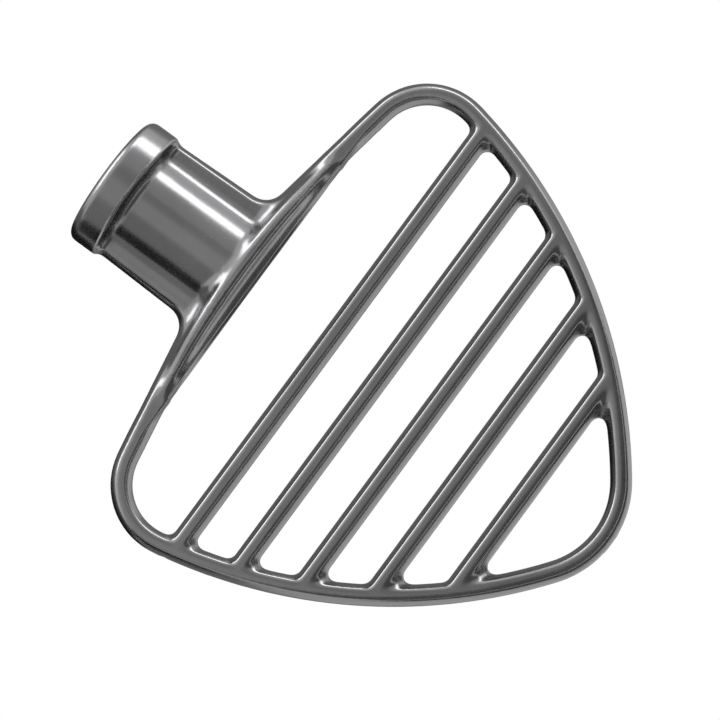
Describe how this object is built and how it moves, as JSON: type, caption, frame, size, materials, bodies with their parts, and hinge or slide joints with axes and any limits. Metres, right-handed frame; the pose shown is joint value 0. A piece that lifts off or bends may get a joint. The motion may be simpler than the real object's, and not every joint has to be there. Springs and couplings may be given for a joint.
{
  "type": "pastry beater",
  "caption": "Cast steel pastry beater: a flat spade-shaped frame crossed by level bars, under a collared hub with a blind shaft bore and a bayonet track.",
  "frame": {"origin": "middle of the bore's mouth, where its straight wall begins, under the lead-in in the collar's top", "axes": "+Z along the bore, out of its mouth; +X across the frame; -Y the front, opposite the pin's way in"},
  "size_m": [0.1404, 0.036, 0.1568],
  "materials": {
    "steel": "cast stainless steel, polished to a dark satin shine"
  },
  "bodies": {
    "root": {"beater": "steel"}
  },
  "joints": []
}
